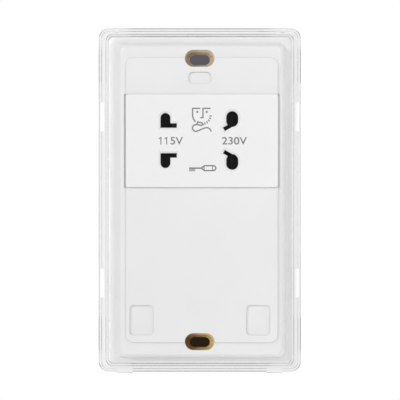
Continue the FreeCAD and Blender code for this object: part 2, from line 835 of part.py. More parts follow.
def rear_housing():
    """Deep tub behind the yoke: corner bosses, core posts, a terminal shelf with barriers, wire holes."""
    body = slab(housing_width, housing_height, housing_corner, housing_back, yoke_back)
    body = body.makeFillet(housing_back_round, edges_at(body, housing_back))
    inside = slab(inside_width, inside_height, housing_corner - housing_wall / 2, inside_back, yoke_back)
    body = body.cut(inside)
    for place in boss_places():
        body = body.fuse(rod(boss_radius, inside_back, yoke_back, place).common(inside))
    for place in core_screw_places():
        body = body.fuse(rod(post_radius, inside_back, core_back, place))
        body = body.cut(rod(core_screw_radius, core_back - core_screw_bite, core_back, place))
    body = terminal_seats(body)
    head_seat = housing_back + housing_screw_head_height
    for place in boss_places():
        body = body.cut(rod(housing_screw_radius + snug_gap, housing_back, yoke_back, place))
        body = body.cut(rod(housing_screw_head_radius + snug_gap, housing_back, head_seat, place))
    return body.removeSplitter()


def terminal_seats(body):
    """Adds the terminal shelf and barriers to the tub and opens its wire and screw holes."""
    low = terminal_top - terminal_length
    half_row = terminal_pitch * 1.5 + terminal_barrier / 2
    body = body.fuse(block(-half_row, half_row, low, inside_top, inside_back, terminal_back))
    for step in range(4):
        x = (step - 1.5) * terminal_pitch
        body = body.fuse(block(x - terminal_barrier / 2, x + terminal_barrier / 2, low, inside_top,
                               terminal_back, terminal_front))
    for x in terminal_places:
        body = body.cut(rod(screw_access_radius, housing_back, terminal_back, (x, terminal_middle)))
        body = body.cut(Part.makeCylinder(wire_hole_radius, housing_wall,
                                          V(x, inside_top, terminal_bore_axis), V(0, 1, 0)))
    return body


def housing_screws():
    """Long screws from behind, through the corner bosses into the yoke."""
    seat = housing_back + housing_screw_head_height
    return Part.makeCompound([slotted_screw(housing_screw_radius, housing_screw_head_radius,
                                            housing_screw_head_height, seat, yoke_front, place)
                              for place in boss_places()])


# Terminals

def terminal(x):
    """Brass pillar: a wire bore from the top end and a clamping screw hole from behind."""
    low = terminal_top - terminal_length
    body = block(x - terminal_width / 2, x + terminal_width / 2, low, terminal_top, terminal_back,
                 terminal_front)
    body = body.makeChamfer(terminal_edge, edges_at(body, terminal_front))
    body = body.cut(Part.makeCylinder(terminal_bore_radius, terminal_length, V(x, low, terminal_bore_axis),
                                      V(0, 1, 0)))
    return body.cut(rod(terminal_screw_radius, terminal_back, terminal_bore_axis, (x, terminal_middle)))


def terminal_screws():
    """Clamping screws, backed off so that the wire bores are open."""
    tip = terminal_bore_axis - terminal_bore_radius - snug_gap
    return Part.makeCompound([slotted_screw(terminal_screw_radius, terminal_screw_head_radius,
                                            terminal_screw_head_height, terminal_back, tip,
                                            (x, terminal_middle)) for x in terminal_places])


def earth_link():
    """Bent brass strip from the earth terminal's front face to the back of the yoke."""
    leg = terminal_top - earth_link_foot
    sheet = earth_link_sheet
    foot = leg - earth_link_foot
    points = [(foot, terminal_front), (leg + sheet, terminal_front), (leg + sheet, yoke_back - sheet),
              (leg + earth_link_foot, yoke_back - sheet), (leg + earth_link_foot, yoke_back),
              (leg, yoke_back), (leg, terminal_front + sheet), (foot, terminal_front + sheet)]
    x = terminal_places[-1]
    return profile(points, x - earth_link_width / 2, x + earth_link_width / 2)


def all_pieces():
    """Every piece of the socket, by name, drawn in the plate's own plane."""
    pieces = {
        "clear_frame": clear_frame(),
        "front_moulding": front_moulding(),
        "socket_face": socket_face(),
        "mounting_yoke": mounting_yoke(),
        "shutter_slider": shutter_slider(),
        "switch_bridge": switch_bridge(),
        "switch_strip_upper": switch_strip(1),
        "switch_strip_lower": switch_strip(-1),
        "centring_spring_left": centring_spring(-1),
        "centring_spring_right": centring_spring(1),
        "contact_base": contact_base(),
        "base_screws": base_screws(),
        "transformer_core": transformer_core(),
        "bobbin": bobbin(),
        "primary_winding": primary_winding(),
        "secondary_winding": secondary_winding(),
        "thermal_cutout": thermal_cutout(),
        "core_screws": core_screws(),
        "rear_housing": rear_housing(),
        "housing_screws": housing_screws(),
        "terminal_screws": terminal_screws(),
        "earth_link": earth_link(),
    }
    for name, place in chamber_places().items():
        pieces["contact_" + name] = pin_contact(place)
    for name, x in zip(("live", "neutral", "earth"), terminal_places):
        pieces["terminal_" + name] = terminal(x)
    return pieces


os.makedirs("parts", exist_ok=True)
for piece_name, piece in all_pieces().items():
    piece.rotate(ORIGIN, V(1, 0, 0), 90)
    piece.exportStep(f"parts/{piece_name}.step")
    print(piece_name, len(piece.Solids), piece.isValid(), round(piece.Volume, 1))
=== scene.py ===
import math

import bmesh
import bpy
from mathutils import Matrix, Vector

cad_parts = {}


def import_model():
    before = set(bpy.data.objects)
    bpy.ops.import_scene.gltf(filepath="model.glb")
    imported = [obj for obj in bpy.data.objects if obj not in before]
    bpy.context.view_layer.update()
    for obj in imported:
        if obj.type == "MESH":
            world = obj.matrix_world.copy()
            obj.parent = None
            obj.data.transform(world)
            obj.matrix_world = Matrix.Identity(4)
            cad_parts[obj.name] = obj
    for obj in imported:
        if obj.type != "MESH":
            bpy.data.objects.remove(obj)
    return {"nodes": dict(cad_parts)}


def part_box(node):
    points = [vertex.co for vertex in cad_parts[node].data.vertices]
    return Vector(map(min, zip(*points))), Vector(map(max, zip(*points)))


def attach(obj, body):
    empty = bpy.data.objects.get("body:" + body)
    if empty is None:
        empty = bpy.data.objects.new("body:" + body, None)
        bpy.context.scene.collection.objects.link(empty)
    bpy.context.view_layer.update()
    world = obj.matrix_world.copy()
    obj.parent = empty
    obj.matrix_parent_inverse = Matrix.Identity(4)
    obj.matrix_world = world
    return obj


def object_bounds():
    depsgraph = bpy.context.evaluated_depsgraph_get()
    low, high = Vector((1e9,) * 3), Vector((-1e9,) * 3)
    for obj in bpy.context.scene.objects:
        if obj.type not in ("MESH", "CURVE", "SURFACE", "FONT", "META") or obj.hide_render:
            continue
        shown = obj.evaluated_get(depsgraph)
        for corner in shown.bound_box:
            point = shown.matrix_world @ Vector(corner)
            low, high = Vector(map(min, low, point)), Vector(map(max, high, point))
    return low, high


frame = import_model()
cad_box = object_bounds()

# Sizes, in millimetres unless the name says otherwise

MM = 0.001

# Print on the socket face: x across and z up from the middle of the face
INK_THICKNESS = 0.02
INK_LINE = 0.54
WORD_HEIGHT = 3.2
WORD_FOOT = -1.65
WORD_BOLD = 0.012
WORD_5V_LEFT = -12.45
WORD_5V_WIDTH = 5.3
ONE_BARS = (-16.5, -14.05)
ONE_LINE = 0.44
ONE_FLAG_REACH = 0.85
ONE_FLAG_DROP = 0.75
WORD_230_LEFT = 9.45
WORD_230_WIDTH = 10.6

# Shaver sign: a square-browed head, half of it outlined and half of it stubble
HEAD_MIDDLE = (0.8, 10.9)
HEAD_RADIUS = 3.85
BROW_HEIGHT = 13.7
BROW_LEFT_END = 0.25
BROW_RIGHT_END = 4.55
NOSE_LINE = 1.36
NOSE_FOOT = 9.76
JAW_END_DEGREES = 228
EYES = ((-1.05, 12.2), (2.98, 12.2))
EYE_RADIUS = 0.46
STUBBLE_COUNT = 5
STUBBLE_FIRST_DEGREES = -6
STUBBLE_LAST_DEGREES = -69
STUBBLE_LENGTH = 0.95
SHAVER_OUTLINE = ((-0.95, 7.94), (0.91, 7.55), (1.46, 6.83), (0.53, 6.45), (-1.21, 6.9))
LEAD_POINTS = ((-1.21, 6.9), (-2.65, 6.4), (-3.1, 5.2), (-2.4, 4.15), (-1.3, 4.0), (1.5, 5.15), (3.1, 5.5),
               (4.2, 5.0), (4.9, 3.9))

# Toothbrush sign
BRUSH_HEIGHT = -11.67
BRUSH_LEFT = -4.5
BRUSH_NECK = 0.6
BRUSH_BAR = 0.62
BRISTLE_COUNT = 6
BRISTLE_SPAN = 2.5
BRISTLE_LENGTH = 1.35
BRISTLE_LINE = 0.28
HANDLE_SHOULDER = 2.0
HANDLE_END = 5.75
HANDLE_HALF_HEIGHT = 1.05
HANDLE_BANDS = (1.85, 5.5)
HANDLE_BAND_LINE = 0.378

# How far out of an inner corner of the white mouldings the painted corner shade reaches
CORNER_SHADE_REACH = 0.6

# Half the height over which the yoke's colour changes from bottom to top, and half the width of a ring over
# which its painted shade turns to painted light
TONE_HALF_HEIGHT = 62.0
PAINTED_LIGHT_HALF_WIDTH = 5.5

# Distance from the middle over which the shutter is painted paler, as painted light where the pin holes show
# it
PAINTED_LIGHT_ZONE = (12.5, 16.5)

# Streaks of rolled metal: how many times longer than wide, and how far their roughness swings
STREAK_STRETCH = 12.0
STREAK_SWING = 0.06

# Studio
CAMERA_DISTANCE = 900.0
CAMERA_LENS = 188.9
CAMERA_SIDE = 0.1
CARD_GAP = 1.5
FLOOR_DROP = 18.0
STAGE_SIZE = 1600.0
# Levels: room light on the object, the room where it is looked at, and the floor's lift towards white
ROOM_LIGHT = 0.475
ROOM_SEEN = 1.0
FLOOR_LIFT = 0.6
# Shade on the card behind the plate, from its middle: where it is full and where it has gone
SHADE_LEFT = (38.0, 42.0)
SHADE_RIGHT = (39.0, 45.0)
SHADE_HEAD = (70.5, 75.8)
SHADE_FOOT = (70.3, 77.2)
# Scraps of dark card just behind the two fixing slots: painted shade for the shadowed inside of a wall box
UPPER_SLOT = 59.85
LOWER_SLOT = -60.75
SLOT_CARD_WIDTH = 15.0
SLOT_CARD_HEIGHT = 9.0
SLOT_CARD_GAP = 1.0
# The card as the clear frame's edges show it: dark behind the plate, in uneven patches far outside
DEEP_SIDES = (28.0, 35.0)
DEEP_ENDS = (66.0, 70.0)
DEEP_LEVEL = 0.08
CARD_SIDES = (48.0, 60.0)
CARD_ENDS = (79.0, 92.0)
DIM_SIDES = (0.9, 1.15)
DIM_ENDS = (0.2, 0.85)
DIM_PATCH = 14.0
PATCH_RANGE = (0.4, 0.6)

# Round strokes: steps to a full turn, and between two points of a smooth line
ARC_STEPS = 48
CURVE_STEPS = 6
# Least cosine that a mitred corner is worked out with, so that a sharp one doesn't run out
MITRE_LIMIT = 0.5


# Shader building

def srgb(code):
    """Linear colour, with alpha, from an sRGB hex code."""
    parts = [int(code[place:place + 2], 16) / 255 for place in (1, 3, 5)]
    linear = [part / 12.92 if part <= 0.04045 else ((part + 0.055) / 1.055) ** 2.4 for part in parts]
    return (*linear, 1.0)


def per_mm(size):
    """Texture scale that gives a pattern of this size in millimetres, on object coordinates in metres."""
    return 1.0 / (size * MM)


def add(tree, kind, inputs=None, **settings):
    """Adds one node: settings are its fields, and each input is a value or another node's output."""
    node = tree.nodes.new(kind)
    for field, value in settings.items():
        setattr(node, field, value)
    for socket, value in (inputs or {}).items():
        if isinstance(value, bpy.types.NodeSocket):
            tree.links.new(value, node.inputs[socket])
        else:
            node.inputs[socket].default_value = value
    return node


def surface(name, **constants):
    """New material with one principled shader; the constants are set on the shader's own sockets."""
    material = bpy.data.materials.new(name)
    material.use_nodes = True
    shader = material.node_tree.nodes["Principled BSDF"]
    for socket, value in constants.items():
        shader.inputs[socket.replace("_", " ")].default_value = value
    return material, material.node_tree, shader


# Materials

def moulded_urea(name, dark, light):
    """White urea, compression moulded in a polished tool: even white, soft sheen, painted shade in the inner
    corners.
    """
    material, tree, shader = surface(name, IOR=1.55)
    place = add(tree, "ShaderNodeTexCoord").outputs["Object"]
    cloud = add(tree, "ShaderNodeTexNoise", {"Vector": place, "Scale": per_mm(18), "Detail": 3.0})
    clean = add(tree, "ShaderNodeMix", {0: cloud.outputs["Fac"], 6: srgb(dark), 7: srgb(light)},
                data_type="RGBA")
    # Painted shade: ambient occlusion darkens the colour in the inner corners, which draws each step as a
    # thin line
    corner = add(tree, "ShaderNodeAmbientOcclusion", {"Distance": CORNER_SHADE_REACH * MM},
                 samples=8, only_local=True)
    unshaded = add(tree, "ShaderNodeMapRange", {"Value": corner.outputs["AO"], "From Min": 0.5, "From Max": 0.85})
    colour = add(tree, "ShaderNodeMix", {0: unshaded.outputs["Result"], 6: srgb("#DADADA"), 7: clean.outputs[2]},
                 data_type="RGBA")
    tree.links.new(colour.outputs[2], shader.inputs["Base Color"])
    sheen = add(tree, "ShaderNodeMapRange", {"Value": cloud.outputs["Fac"], "To Min": 0.30, "To Max": 0.40})
    tree.links.new(sheen.outputs["Result"], shader.inputs["Roughness"])
    # The tool's grain is a few hundredths of a millimetre and is drawn ten times coarser, to show at all
    grain = add(tree, "ShaderNodeTexNoise", {"Vector": place, "Scale": per_mm(0.5), "Detail": 2.0})
    bump = add(tree, "ShaderNodeBump",
               {"Height": grain.outputs["Fac"], "Strength": 0.04, "Distance": 0.02 * MM})
    tree.links.new(bump.outputs["Normal"], shader.inputs["Normal"])
    return material


def clear_polycarbonate():
    """Clear polycarbonate, injection moulded: glassy, with faint flow waves and bright and dark edges."""
    material, tree, shader = surface("clear_polycarbonate", IOR=1.585, Roughness=0.03,
                                     Transmission_Weight=1.0, Base_Color=srgb("#F1F1F1"))
    place = add(tree, "ShaderNodeTexCoord").outputs["Object"]
    flow = add(tree, "ShaderNodeTexNoise", {"Vector": place, "Scale": per_mm(7), "Detail": 1.0})
    bump = add(tree, "ShaderNodeBump",
               {"Height": flow.outputs["Fac"], "Strength": 0.15, "Distance": 0.1 * MM})
    tree.links.new(bump.outputs["Normal"], shader.inputs["Normal"])
    # The plastic is faintly grey, which shows only where light has run a long way inside it
    depth = add(tree, "ShaderNodeVolumeAbsorption", {"Color": srgb("#A6A6A6"), "Density": 8.0})
    tree.links.new(depth.outputs["Volume"], tree.nodes["Material Output"].inputs["Volume"])
    return material


def yellow_passivated_steel():
    """Zinc-plated steel sheet, yellow chromate dipped: brown to gold, with painted shade and light across
    each ring, green clouds and a satin face.
    """
    material, tree, shader = surface("yellow_passivated_steel", Metallic=0.7)
    place = add(tree, "ShaderNodeTexCoord").outputs["Object"]
    cloud = add(tree, "ShaderNodeTexNoise",
                {"Vector": place, "Scale": per_mm(5), "Detail": 4.0, "Distortion": 0.6})
    # Darker and browner towards the bottom; across each ring the brown left is painted shade from the window
    # wall and the pale gold right is painted light from the key
    spot = add(tree, "ShaderNodeSeparateXYZ", {"Vector": place})
    down = add(tree, "ShaderNodeMapRange",
               {"Value": spot.outputs["Z"], "From Min": -TONE_HALF_HEIGHT * MM, "From Max": TONE_HALF_HEIGHT * MM})
    brown = add(tree, "ShaderNodeMix", {0: down.outputs["Result"], 6: srgb("#6F4720"), 7: srgb("#A49178")},
                data_type="RGBA")
    gold = add(tree, "ShaderNodeMix", {0: down.outputs["Result"], 6: srgb("#EDD292"), 7: srgb("#DCCBAC")},
               data_type="RGBA")
    across = add(tree, "ShaderNodeMapRange",
                 {"Value": spot.outputs["X"], "From Min": -PAINTED_LIGHT_HALF_WIDTH * MM, "From Max": PAINTED_LIGHT_HALF_WIDTH * MM})
    uneven = add(tree, "ShaderNodeMapRange", {"Value": cloud.outputs["Fac"], "To Min": -0.3, "To Max": 0.3})
    share = add(tree, "ShaderNodeMath", {0: across.outputs["Result"], 1: uneven.outputs["Result"]},
                use_clamp=True)
    tone_with_painted_light = add(tree, "ShaderNodeMix", {0: share.outputs[0], 6: brown.outputs[2], 7: gold.outputs[2]},
                 data_type="RGBA")
    tint = add(tree, "ShaderNodeTexNoise", {"Vector": place, "Scale": per_mm(2.2), "Detail": 2.0})
    green = add(tree, "ShaderNodeMapRange", {"Value": tint.outputs["Fac"], "From Min": 0.5, "To Max": 0.25})
    colour = add(tree, "ShaderNodeMix",
                 {0: green.outputs["Result"], 6: tone_with_painted_light.outputs[2], 7: srgb("#A48A56")}, data_type="RGBA")
    tree.links.new(colour.outputs[2], shader.inputs["Base Color"])
    satin = add(tree, "ShaderNodeMapRange", {"Value": cloud.outputs["Fac"], "To Min": 0.32, "To Max": 0.48})
    tree.links.new(satin.outputs["Result"], shader.inputs["Roughness"])
    return material


def black_acetal():
    """Black acetal, injection moulded: a slippery satin black, painted paler towards its ends as painted
    light in the pin holes.
    """
    material, tree, shader = surface("black_acetal", IOR=1.48)
    place = add(tree, "ShaderNodeTexCoord").outputs["Object"]
    cloud = add(tree, "ShaderNodeTexNoise", {"Vector": place, "Scale": per_mm(3), "Detail": 3.0})
    across = add(tree, "ShaderNodeSeparateXYZ", {"Vector": place}).outputs["X"]
    outward = add(tree, "ShaderNodeMath", {0: across}, operation="ABSOLUTE").outputs[0]
    # Painted light: paler towards the ends, where the pin holes show the shutter more brightly lit
    painted_light = add(tree, "ShaderNodeMapRange",
              {"Value": outward, "From Min": PAINTED_LIGHT_ZONE[0] * MM, "From Max": PAINTED_LIGHT_ZONE[1] * MM})
    spread = add(tree, "ShaderNodeMapRange", {"Value": cloud.outputs["Fac"], "To Min": -0.1, "To Max": 0.1})
    share = add(tree, "ShaderNodeMath", {0: painted_light.outputs["Result"], 1: spread.outputs["Result"]},
                use_clamp=True)
    colour = add(tree, "ShaderNodeMix", {0: share.outputs[0], 6: srgb("#2A2A29"), 7: srgb("#72726F")},
                 data_type="RGBA")
    tree.links.new(colour.outputs[2], shader.inputs["Base Color"])
    satin = add(tree, "ShaderNodeMapRange", {"Value": cloud.outputs["Fac"], "To Min": 0.42, "To Max": 0.55})
    tree.links.new(satin.outputs["Result"], shader.inputs["Roughness"])
    return material


def glass_filled_nylon():
    """Glass-filled nylon, moulded in a spark-eroded tool: an off-white tub with a dull, grained skin."""
    material, tree, shader = surface("glass_filled_nylon", IOR=1.53)
    place = add(tree, "ShaderNodeTexCoord").outputs["Object"]
    cloud = add(tree, "ShaderNodeTexNoise", {"Vector": place, "Scale": per_mm(25), "Detail": 3.0})
    colour = add(tree, "ShaderNodeMix", {0: cloud.outputs["Fac"], 6: srgb("#DEDED9"), 7: srgb("#E9E9E5")},
                 data_type="RGBA")
    tree.links.new(colour.outputs[2], shader.inputs["Base Color"])
    dull = add(tree, "ShaderNodeMapRange", {"Value": cloud.outputs["Fac"], "To Min": 0.52, "To Max": 0.64})
    tree.links.new(dull.outputs["Result"], shader.inputs["Roughness"])
    # Spark grain is about a tenth of a millimetre and is drawn at 0.7 mm, to show in a render
    grain = add(tree, "ShaderNodeTexNoise", {"Vector": place, "Scale": per_mm(0.7), "Detail": 3.0})
    bump = add(tree, "ShaderNodeBump",
               {"Height": grain.outputs["Fac"], "Strength": 0.25, "Distance": 0.05 * MM})
    tree.links.new(bump.outputs["Normal"], shader.inputs["Normal"])
    return material


def rolled_metal(name, dark, light, roughness):
    """Rolled or drawn metal: fine streaks along its length in two near shades."""
    material, tree, shader = surface(name, Metallic=1.0)
    place = add(tree, "ShaderNodeTexCoord").outputs["Object"]
    # Rolling streaks, 0.3 mm wide
    stretch = add(tree, "ShaderNodeMapping", {"Vector": place, "Scale": (1.0, 1.0, 1 / STREAK_STRETCH)})
    streak = add(tree, "ShaderNodeTexNoise", {"Vector": stretch.outputs["Vector"], "Scale": per_mm(0.3)})
    colour = add(tree, "ShaderNodeMix", {0: streak.outputs["Fac"], 6: srgb(dark), 7: srgb(light)},
                 data_type="RGBA")
    tree.links.new(colour.outputs[2], shader.inputs["Base Color"])
    worn = add(tree, "ShaderNodeMapRange",
               {"Value": streak.outputs["Fac"], "To Min": roughness - STREAK_SWING,
                "To Max": roughness + STREAK_SWING})
    tree.links.new(worn.outputs["Result"], shader.inputs["Roughness"])
    return material


def varnished_laminations():
    """Stamped silicon steel sheets, stacked and varnished: dark grey, with a line for every sheet edge."""
    material, tree, shader = surface("varnished_laminations", Metallic=0.8, Roughness=0.5)
    place = add(tree, "ShaderNodeTexCoord").outputs["Object"]
    # Sheets are 0.5 mm thick and are stacked along Y
    sheets = add(tree, "ShaderNodeTexWave",
                 {"Vector": place, "Scale": per_mm(0.5) / math.tau, "Distortion": 0.2},
                 bands_direction="Y")
    colour = add(tree, "ShaderNodeMix", {0: sheets.outputs["Fac"], 6: srgb("#3A3A3C"), 7: srgb("#6E6E70")},
                 data_type="RGBA")
    tree.links.new(colour.outputs[2], shader.inputs["Base Color"])
    return material


def natural_nylon():
    """Unfilled nylon, injection moulded: milky cream with a soft waxy sheen."""
    material, tree, shader = surface("natural_nylon", IOR=1.53, Roughness=0.45)
    place = add(tree, "ShaderNodeTexCoord").outputs["Object"]
    cloud = add(tree, "ShaderNodeTexNoise", {"Vector": place, "Scale": per_mm(8)})
    colour = add(tree, "ShaderNodeMix", {0: cloud.outputs["Fac"], 6: srgb("#DDD6C4"), 7: srgb("#E8E3D4")},
                 data_type="RGBA")
    tree.links.new(colour.outputs[2], shader.inputs["Base Color"])
    return material


def polyester_tape():
    """Yellow polyester film wound over enamelled wire: glossy, with the wire's turns showing as ridges."""
    material, tree, shader = surface("polyester_tape", IOR=1.6, Roughness=0.25)
    place = add(tree, "ShaderNodeTexCoord").outputs["Object"]
    # Turns of 0.4 mm wire, one above the other
    turns = add(tree, "ShaderNodeTexWave",
                {"Vector": place, "Scale": per_mm(0.4) / math.tau, "Distortion": 0.3},
                bands_direction="Z")
    colour = add(tree, "ShaderNodeMix", {0: turns.outputs["Fac"], 6: srgb("#B58A1E"), 7: srgb("#D8B341")},
                 data_type="RGBA")
    tree.links.new(colour.outputs[2], shader.inputs["Base Color"])
    bump = add(tree, "ShaderNodeBump",
               {"Height": turns.outputs["Fac"], "Strength": 0.4, "Distance": 0.1 * MM})
    tree.links.new(bump.outputs["Normal"], shader.inputs["Normal"])
    return material


def potting_epoxy():
    """Cast black epoxy: glossy with a slightly uneven skin."""
    material, tree, shader = surface("potting_epoxy", IOR=1.55, Base_Color=srgb("#141416"))
    place = add(tree, "ShaderNodeTexCoord").outputs["Object"]
    skin = add(tree, "ShaderNodeTexNoise", {"Vector": place, "Scale": per_mm(2)})
    gloss = add(tree, "ShaderNodeMapRange", {"Value": skin.outputs["Fac"], "To Min": 0.18, "To Max": 0.32})
    tree.links.new(gloss.outputs["Result"], shader.inputs["Roughness"])
    return material


def pad_printed_ink():
    """Grey pad-printed ink: a thin dull film, a little uneven where the pad lifted."""
    material, tree, shader = surface("pad_printed_ink", IOR=1.5, Roughness=0.55)
    place = add(tree, "ShaderNodeTexCoord").outputs["Object"]
    film = add(tree, "ShaderNodeTexNoise", {"Vector": place, "Scale": per_mm(0.6), "Detail": 2.0})
    colour = add(tree, "ShaderNodeMix", {0: film.outputs["Fac"], 6: srgb("#737373"), 7: srgb("#858585")},
                 data_type="RGBA")
    tree.links.new(colour.outputs[2], shader.inputs["Base Color"])
    return material


def dress_frame():
    """Gives every CAD piece its finish."""
    bronze = rolled_metal("phosphor_bronze_strip", "#A9713F", "#C48A55", 0.32)
    brass = rolled_metal("drawn_brass_bar", "#B08D45", "#CDAA62", 0.30)
    zinc = rolled_metal("zinc_plated_steel", "#A6A9AC", "#C3C6C9", 0.34)
    spring = rolled_metal("spring_steel_strip", "#6C6E70", "#8C8E90", 0.28)
    acetal = black_acetal()
    tape = polyester_tape()
    finishes = {
        "clear_frame": clear_polycarbonate(),
        "front_moulding": moulded_urea("moulded_urea", "#EAEAEA", "#EFEFEF"),
        "socket_face": moulded_urea("bright_moulded_urea", "#EFEFEF", "#F3F3F3"),
        "mounting_yoke": yellow_passivated_steel(),
        "shutter_slider": acetal,
        "contact_base": acetal,
        "rear_housing": glass_filled_nylon(),
        "transformer_core": varnished_laminations(),
        "bobbin": natural_nylon(),
        "primary_winding": tape,
        "secondary_winding": tape,
        "thermal_cutout": potting_epoxy(),
    }
    families = {"contact_": bronze, "switch_": bronze, "terminal_": brass, "earth_": brass,
                "centring_": spring}
    for name, piece in frame["nodes"].items():
        finish = finishes.get(name)
        if finish is None and name.endswith("_screws"):
            finish = zinc
        if finish is None:
            finish = next(metal for start, metal in families.items() if name.startswith(start))
        for holder in piece.material_slots:
            holder.material = finish
    # Light goes through the clear frame, so it throws no shadow on the moulding beside it
    frame["nodes"]["clear_frame"].visible_shadow = False


# Print on the socket face

face_low, face_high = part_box("socket_face")
FACE_MIDDLE = (face_low.z + face_high.z) / 2
FACE_FRONT = face_low.y


def on_face(point, lift=0.0):
    """Place on the socket face from millimetres across and up, lifted off it in millimetres."""
    return Vector((point[0] * MM, FACE_FRONT - lift * MM, FACE_MIDDLE + point[1] * MM))


def arc(middle, radius, start, end):
    """Points along an arc, angles in degrees."""
    steps = max(2, round(abs(end - start) / 360 * ARC_STEPS))
    angles = [math.radians(start + (end - start) * step / steps) for step in range(steps + 1)]
    return [(middle[0] + radius * math.cos(angle), middle[1] + radius * math.sin(angle)) for angle in angles]


def smooth(points):
    """Points along a smooth curve through the given ones."""
    ends = [points[0], *points, points[-1]]
    line = []
    for index in range(1, len(ends) - 2):
        before, start, stop, after = (Vector(end) for end in ends[index - 1:index + 3])
        turn = 2 * before - 5 * start + 4 * stop - after
        swing = 3 * start - before - 3 * stop + after
        for step in range(CURVE_STEPS):
            share = step / CURVE_STEPS
            line.append(0.5 * (2 * start + (stop - before) * share + turn * share ** 2 + swing * share ** 3))
    return line + [Vector(points[-1])]


def stroke(marks, points, width, closed=False):
    """Adds a flat line of ink along the points, with mitred corners."""
    spots = [Vector(point) for point in points]
    count = len(spots)
    rims = []
    for index, spot in enumerate(spots):
        leave = spots[(index + 1) % count] - spot if closed or index < count - 1 else spot - spots[index - 1]
        arrive = spot - spots[index - 1] if closed or index else leave
        leave.normalize()
        arrive.normalize()
        across = (leave + arrive).normalized().orthogonal()
        reach = width / 2 / max(across.dot(arrive.orthogonal()), MITRE_LIMIT)
        rims.append([marks.verts.new(on_face(spot + side * reach * across, INK_THICKNESS))
                     for side in (1, -1)])
    for index in range(count if closed else count - 1):
        left, right = rims[index]
        next_left, next_right = rims[(index + 1) % count]
        marks.faces.new((left, right, next_right, next_left))


def dot(marks, middle, radius):
    """Adds a round spot of ink."""
    ring = arc(middle, radius, 0, 360)[:-1]
    marks.faces.new([marks.verts.new(on_face(point, INK_THICKNESS)) for point in ring])


def print_marks(name, marks):
    """Thickens the flat ink back to the face and makes it a piece that rides with the housing."""
    raised = bmesh.ops.extrude_face_region(marks, geom=marks.faces[:])
    backs = [part for part in raised["geom"] if isinstance(part, bmesh.types.BMVert)]
    bmesh.ops.translate(marks, vec=(0, INK_THICKNESS * MM, 0), verts=backs)
    bmesh.ops.recalc_face_normals(marks, faces=marks.faces[:])
    mesh = bpy.data.meshes.new(name)
    marks.to_mesh(mesh)
    marks.free()
    return place_print(name, mesh)


def place_print(name, mesh):
    """Inks a mesh and fixes it to the housing."""
    piece = bpy.data.objects.new(name, mesh)
    bpy.context.collection.objects.link(piece)
    mesh.materials.clear()
    mesh.materials.append(INK)
    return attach(piece, "housing")


def shaver_sign():
    """A head with one side outlined and the other as stubble, a shaver at its chin and the shaver's lead."""
    marks = bmesh.new()
    left = HEAD_MIDDLE[0] - HEAD_RADIUS
    outline = [(BROW_LEFT_END, BROW_HEIGHT), (left, BROW_HEIGHT)]
    stroke(marks, outline + arc(HEAD_MIDDLE, HEAD_RADIUS, 180, JAW_END_DEGREES), INK_LINE)
    nose = [(BROW_RIGHT_END, BROW_HEIGHT), (NOSE_LINE, BROW_HEIGHT), (NOSE_LINE, NOSE_FOOT),
            (BROW_LEFT_END, NOSE_FOOT)]
    stroke(marks, nose, INK_LINE)
    for middle in EYES:
        dot(marks, middle, EYE_RADIUS)
    for step in range(STUBBLE_COUNT):
        share = step / (STUBBLE_COUNT - 1)
        angle = math.radians(STUBBLE_FIRST_DEGREES + share * (STUBBLE_LAST_DEGREES - STUBBLE_FIRST_DEGREES))
        ray = Vector((math.cos(angle), math.sin(angle)))
        ends = [Vector(HEAD_MIDDLE) + ray * (HEAD_RADIUS + side * STUBBLE_LENGTH / 2) for side in (-1, 1)]
        stroke(marks, ends, INK_LINE)
    stroke(marks, SHAVER_OUTLINE, INK_LINE, closed=True)
    stroke(marks, smooth(LEAD_POINTS), INK_LINE)
    return print_marks("shaver_sign", marks)


def toothbrush_sign():
    """A brush head with bristles on a thin neck, and a fat handle with a band at each end."""
    marks = bmesh.new()
    stroke(marks, [(BRUSH_LEFT, BRUSH_HEIGHT), (BRUSH_NECK, BRUSH_HEIGHT)], BRUSH_BAR)
    bristle_top = BRUSH_HEIGHT - BRUSH_BAR / 2
    for step in range(BRISTLE_COUNT):
        x = BRUSH_LEFT + BRISTLE_LINE / 2 + step * (BRISTLE_SPAN - BRISTLE_LINE) / (BRISTLE_COUNT - 1)
        stroke(marks, [(x, bristle_top), (x, bristle_top - BRISTLE_LENGTH + BRUSH_BAR / 2)], BRISTLE_LINE)
    top = BRUSH_HEIGHT + HANDLE_HALF_HEIGHT
    bottom = BRUSH_HEIGHT - HANDLE_HALF_HEIGHT
    end = arc((HANDLE_END, BRUSH_HEIGHT), HANDLE_HALF_HEIGHT, -90, 90)
    handle = [(BRUSH_NECK, BRUSH_HEIGHT), (HANDLE_SHOULDER, bottom), *end, (HANDLE_SHOULDER, top)]
    stroke(marks, handle, INK_LINE, closed=True)
    inner = HANDLE_HALF_HEIGHT - INK_LINE / 2
    for x in HANDLE_BANDS:
        stroke(marks, [(x, BRUSH_HEIGHT - inner), (x, BRUSH_HEIGHT + inner)], HANDLE_BAND_LINE)
    return print_marks("toothbrush_sign", marks)


